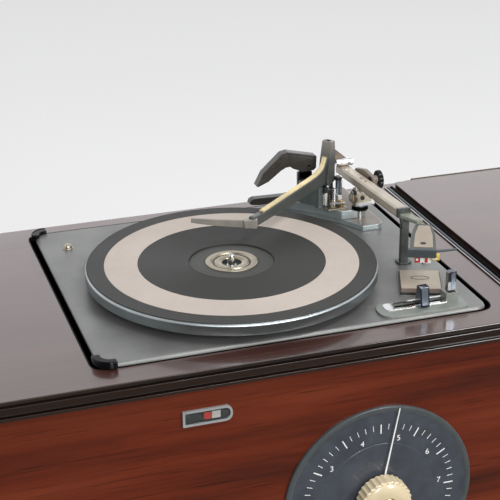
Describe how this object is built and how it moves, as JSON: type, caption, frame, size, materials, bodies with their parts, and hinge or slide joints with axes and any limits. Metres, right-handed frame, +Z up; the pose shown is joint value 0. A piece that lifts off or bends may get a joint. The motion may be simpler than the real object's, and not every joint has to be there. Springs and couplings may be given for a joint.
{
  "type": "radio phonograph console",
  "caption": "Long lacquered console on turned legs with a record changer let into its top, a lidded record well and a round-dial radio in its front.",
  "frame": {"origin": "centre of the footprint, on the floor under the legs", "axes": "+Z up, +X to the right seen from the front, -Y out of the front with the dial"},
  "size_m": [1.3, 0.3964, 0.855],
  "materials": {
    "mahogany": "high gloss lacquered veneer",
    "dark_moulding": "dark lacquered hardwood",
    "plywood": "raw birch ply",
    "hardboard": "raw hardboard",
    "grille_cloth": "woven speaker cloth",
    "indicator_glass": "clear moulded window",
    "speaker_metal": "pressed steel",
    "bright_steel": "zinc plated",
    "bakelite": "dark moulded bakelite",
    "black_trim": "glossy black",
    "brass": "bright brass",
    "dial_face": "dark dial face",
    "knob_plastic": "ivory moulding",
    "white_paint": "white pointer",
    "black_paint": "black enamel",
    "valve_glass": "clear glass bulbs",
    "aluminium": "turned and brushed",
    "deck_paint": "grey hammer enamel",
    "black_rubber": "black rubber",
    "nickel": "warm nickel plate",
    "mat_rubber": "ribbed rubber mat",
    "chrome": "polished",
    "cast_paint": "grey-green enamelled casting",
    "ivory_strip": "cream inlay",
    "arm_paint": "champagne enamel",
    "head_paint": "champagne enamel",
    "cartridge_plastic": "red moulded body",
    "beige_plate": "beige enamelled plate",
    "lever_plastic": "black moulded knob"
  },
  "bodies": {
    "cabinet": {"top_panel": "mahogany", "top_moulding": "dark_moulding", "side_panels": "mahogany", "bottom_board": "plywood", "fascia_panel": "mahogany", "indicator_window": "indicator_glass", "grille_frame": "dark_moulding", "grille_cloth": "grille_cloth", "speaker_baffle": "plywood", "loudspeakers": "speaker_metal", "back_panel": "hardboard", "back_panel_screws": "bright_steel", "mains_inlet": "bakelite", "legs": "dark_moulding", "record_well": "plywood", "lid_trim_strip": "black_trim", "lid_hinge_fixed": "brass", "dial_plate": "dial_face", "radio_chassis": "bright_steel", "power_transformer": "black_paint", "radio_valves": "valve_glass", "tuning_capacitor": "aluminium", "deck_plate": "deck_paint", "deck_gasket": "black_rubber", "corner_guards": "black_trim", "deck_screws": "nickel", "suspension_springs": "bright_steel", "deck_motor": "black_paint", "idler_arm": "bright_steel", "turntable_spindle": "chrome", "tonearm_base": "cast_paint", "changer_brackets": "cast_paint", "arm_rest": "bakelite", "control_panel": "beige_plate", "selector_tray": "cast_paint"},
    "lid": {"record_lid": "mahogany", "lid_hinge_moving": "brass"},
    "tuning": {"tuning_knob": "knob_plastic", "dial_pointer": "white_paint"},
    "volume": {"volume_knob": "knob_plastic"},
    "band": {"band_knob": "knob_plastic"},
    "capacitor_rotor": {"capacitor_rotor": "aluminium"},
    "platter": {"platter": "aluminium", "platter_mat": "mat_rubber", "centre_adapter": "nickel"},
    "idler": {"idler_wheel": "black_rubber"},
    "pulley": {"motor_pulley": "brass"},
    "overarm_shaft": {"overarm_shaft": "chrome"},
    "overarm": {"overarm": "cast_paint", "overarm_strip": "ivory_strip"},
    "clamp": {"record_clamp": "bakelite"},
    "feeler": {"size_feeler": "bakelite"},
    "yoke": {"tonearm_yoke": "bright_steel"},
    "arm": {"tonearm_tube": "arm_paint", "counterweight": "chrome", "headshell": "head_paint", "cartridge": "cartridge_plastic"},
    "balance_knob": {"balance_knob": "black_paint"},
    "start_lever": {"start_lever": "lever_plastic"},
    "speed_lever": {"speed_lever": "lever_plastic"}
  },
  "joints": [
    {"name": "lid_hinge", "type": "hinge", "parent": "cabinet", "child": "lid", "pos_m": [0.346, 0.18925, 0.7636], "axis": [-1, 0, 0], "range_deg": [0, 80]},
    {"name": "platter_spin", "type": "hinge", "parent": "cabinet", "child": "platter", "pos_m": [-0.21, -0.01475, 0.78], "axis": [0, 0, -1], "continuous": true},
    {"name": "idler_spin", "type": "hinge", "parent": "cabinet", "child": "idler", "pos_m": [-0.31799, 0.0476, 0.772], "axis": [0, 0, -1], "continuous": true},
    {"name": "pulley_spin", "type": "hinge", "parent": "cabinet", "child": "pulley", "pos_m": [-0.29695, 0.03545, 0.772], "axis": [0, 0, -1], "continuous": true},
    {"name": "tuning_turn", "type": "hinge", "parent": "cabinet", "child": "tuning", "pos_m": [-0.111, -0.17225, 0.584], "axis": [0, 1, 0], "range_deg": [-145, 124]},
    {"name": "rotor_turn", "type": "hinge", "parent": "cabinet", "child": "capacitor_rotor", "pos_m": [-0.111, -0.07475, 0.584], "axis": [0, 1, 0], "range_deg": [-97, 83]},
    {"name": "volume_turn", "type": "hinge", "parent": "cabinet", "child": "volume", "pos_m": [-0.395, -0.17225, 0.584], "axis": [0, 1, 0], "range_deg": [-140, 140]},
    {"name": "band_turn", "type": "hinge", "parent": "cabinet", "child": "band", "pos_m": [-0.285, -0.17225, 0.584], "axis": [0, 1, 0], "range_deg": [-60, 60]},
    {"name": "overarm_lift", "type": "slide", "parent": "cabinet", "child": "overarm_shaft", "axis": [0, 0, 1], "range_m": [0, 0.016]},
    {"name": "overarm_swing", "type": "hinge", "parent": "overarm_shaft", "child": "overarm", "pos_m": [-0.0588, 0.11125, 0.82], "axis": [0, 0, 1], "range_deg": [0, 28]},
    {"name": "clamp_tilt", "type": "hinge", "parent": "cabinet", "child": "clamp", "pos_m": [-0.077, 0.12525, 0.825], "axis": [0, 1, 0], "range_deg": [0, 55]},
    {"name": "feeler_swing", "type": "hinge", "parent": "cabinet", "child": "feeler", "pos_m": [-0.098, 0.13525, 0.7855], "axis": [0, 0, 1], "range_deg": [-30, 0]},
    {"name": "arm_swing", "type": "hinge", "parent": "cabinet", "child": "yoke", "pos_m": [-0.029, 0.08525, 0.8], "axis": [0, 0, 1], "range_deg": [-42, 0]},
    {"name": "arm_lift", "type": "hinge", "parent": "yoke", "child": "arm", "pos_m": [-0.029, 0.07525, 0.805], "axis": [-1, 0, 0], "range_deg": [0, 14]},
    {"name": "balance_turn", "type": "hinge", "parent": "arm", "child": "balance_knob", "pos_m": [-0.014, 0.07525, 0.817], "axis": [1, 0, 0], "range_deg": [-170, 170]},
    {"name": "start_slide", "type": "slide", "parent": "cabinet", "child": "start_lever", "axis": [1, 0, 0], "range_m": [-0.022, 0.019]},
    {"name": "speed_tilt", "type": "hinge", "parent": "cabinet", "child": "speed_lever", "pos_m": [-0.023, -0.13225, 0.7696], "axis": [1, 0, 0], "range_deg": [-12, 12]}
  ],
  "couplings": [
    {"joint": "idler_spin", "follows": "platter_spin", "ratio": 7.25},
    {"joint": "pulley_spin", "follows": "platter_spin", "ratio": -36.25},
    {"joint": "rotor_turn", "follows": "tuning_turn", "ratio": 0.6666}
  ]
}
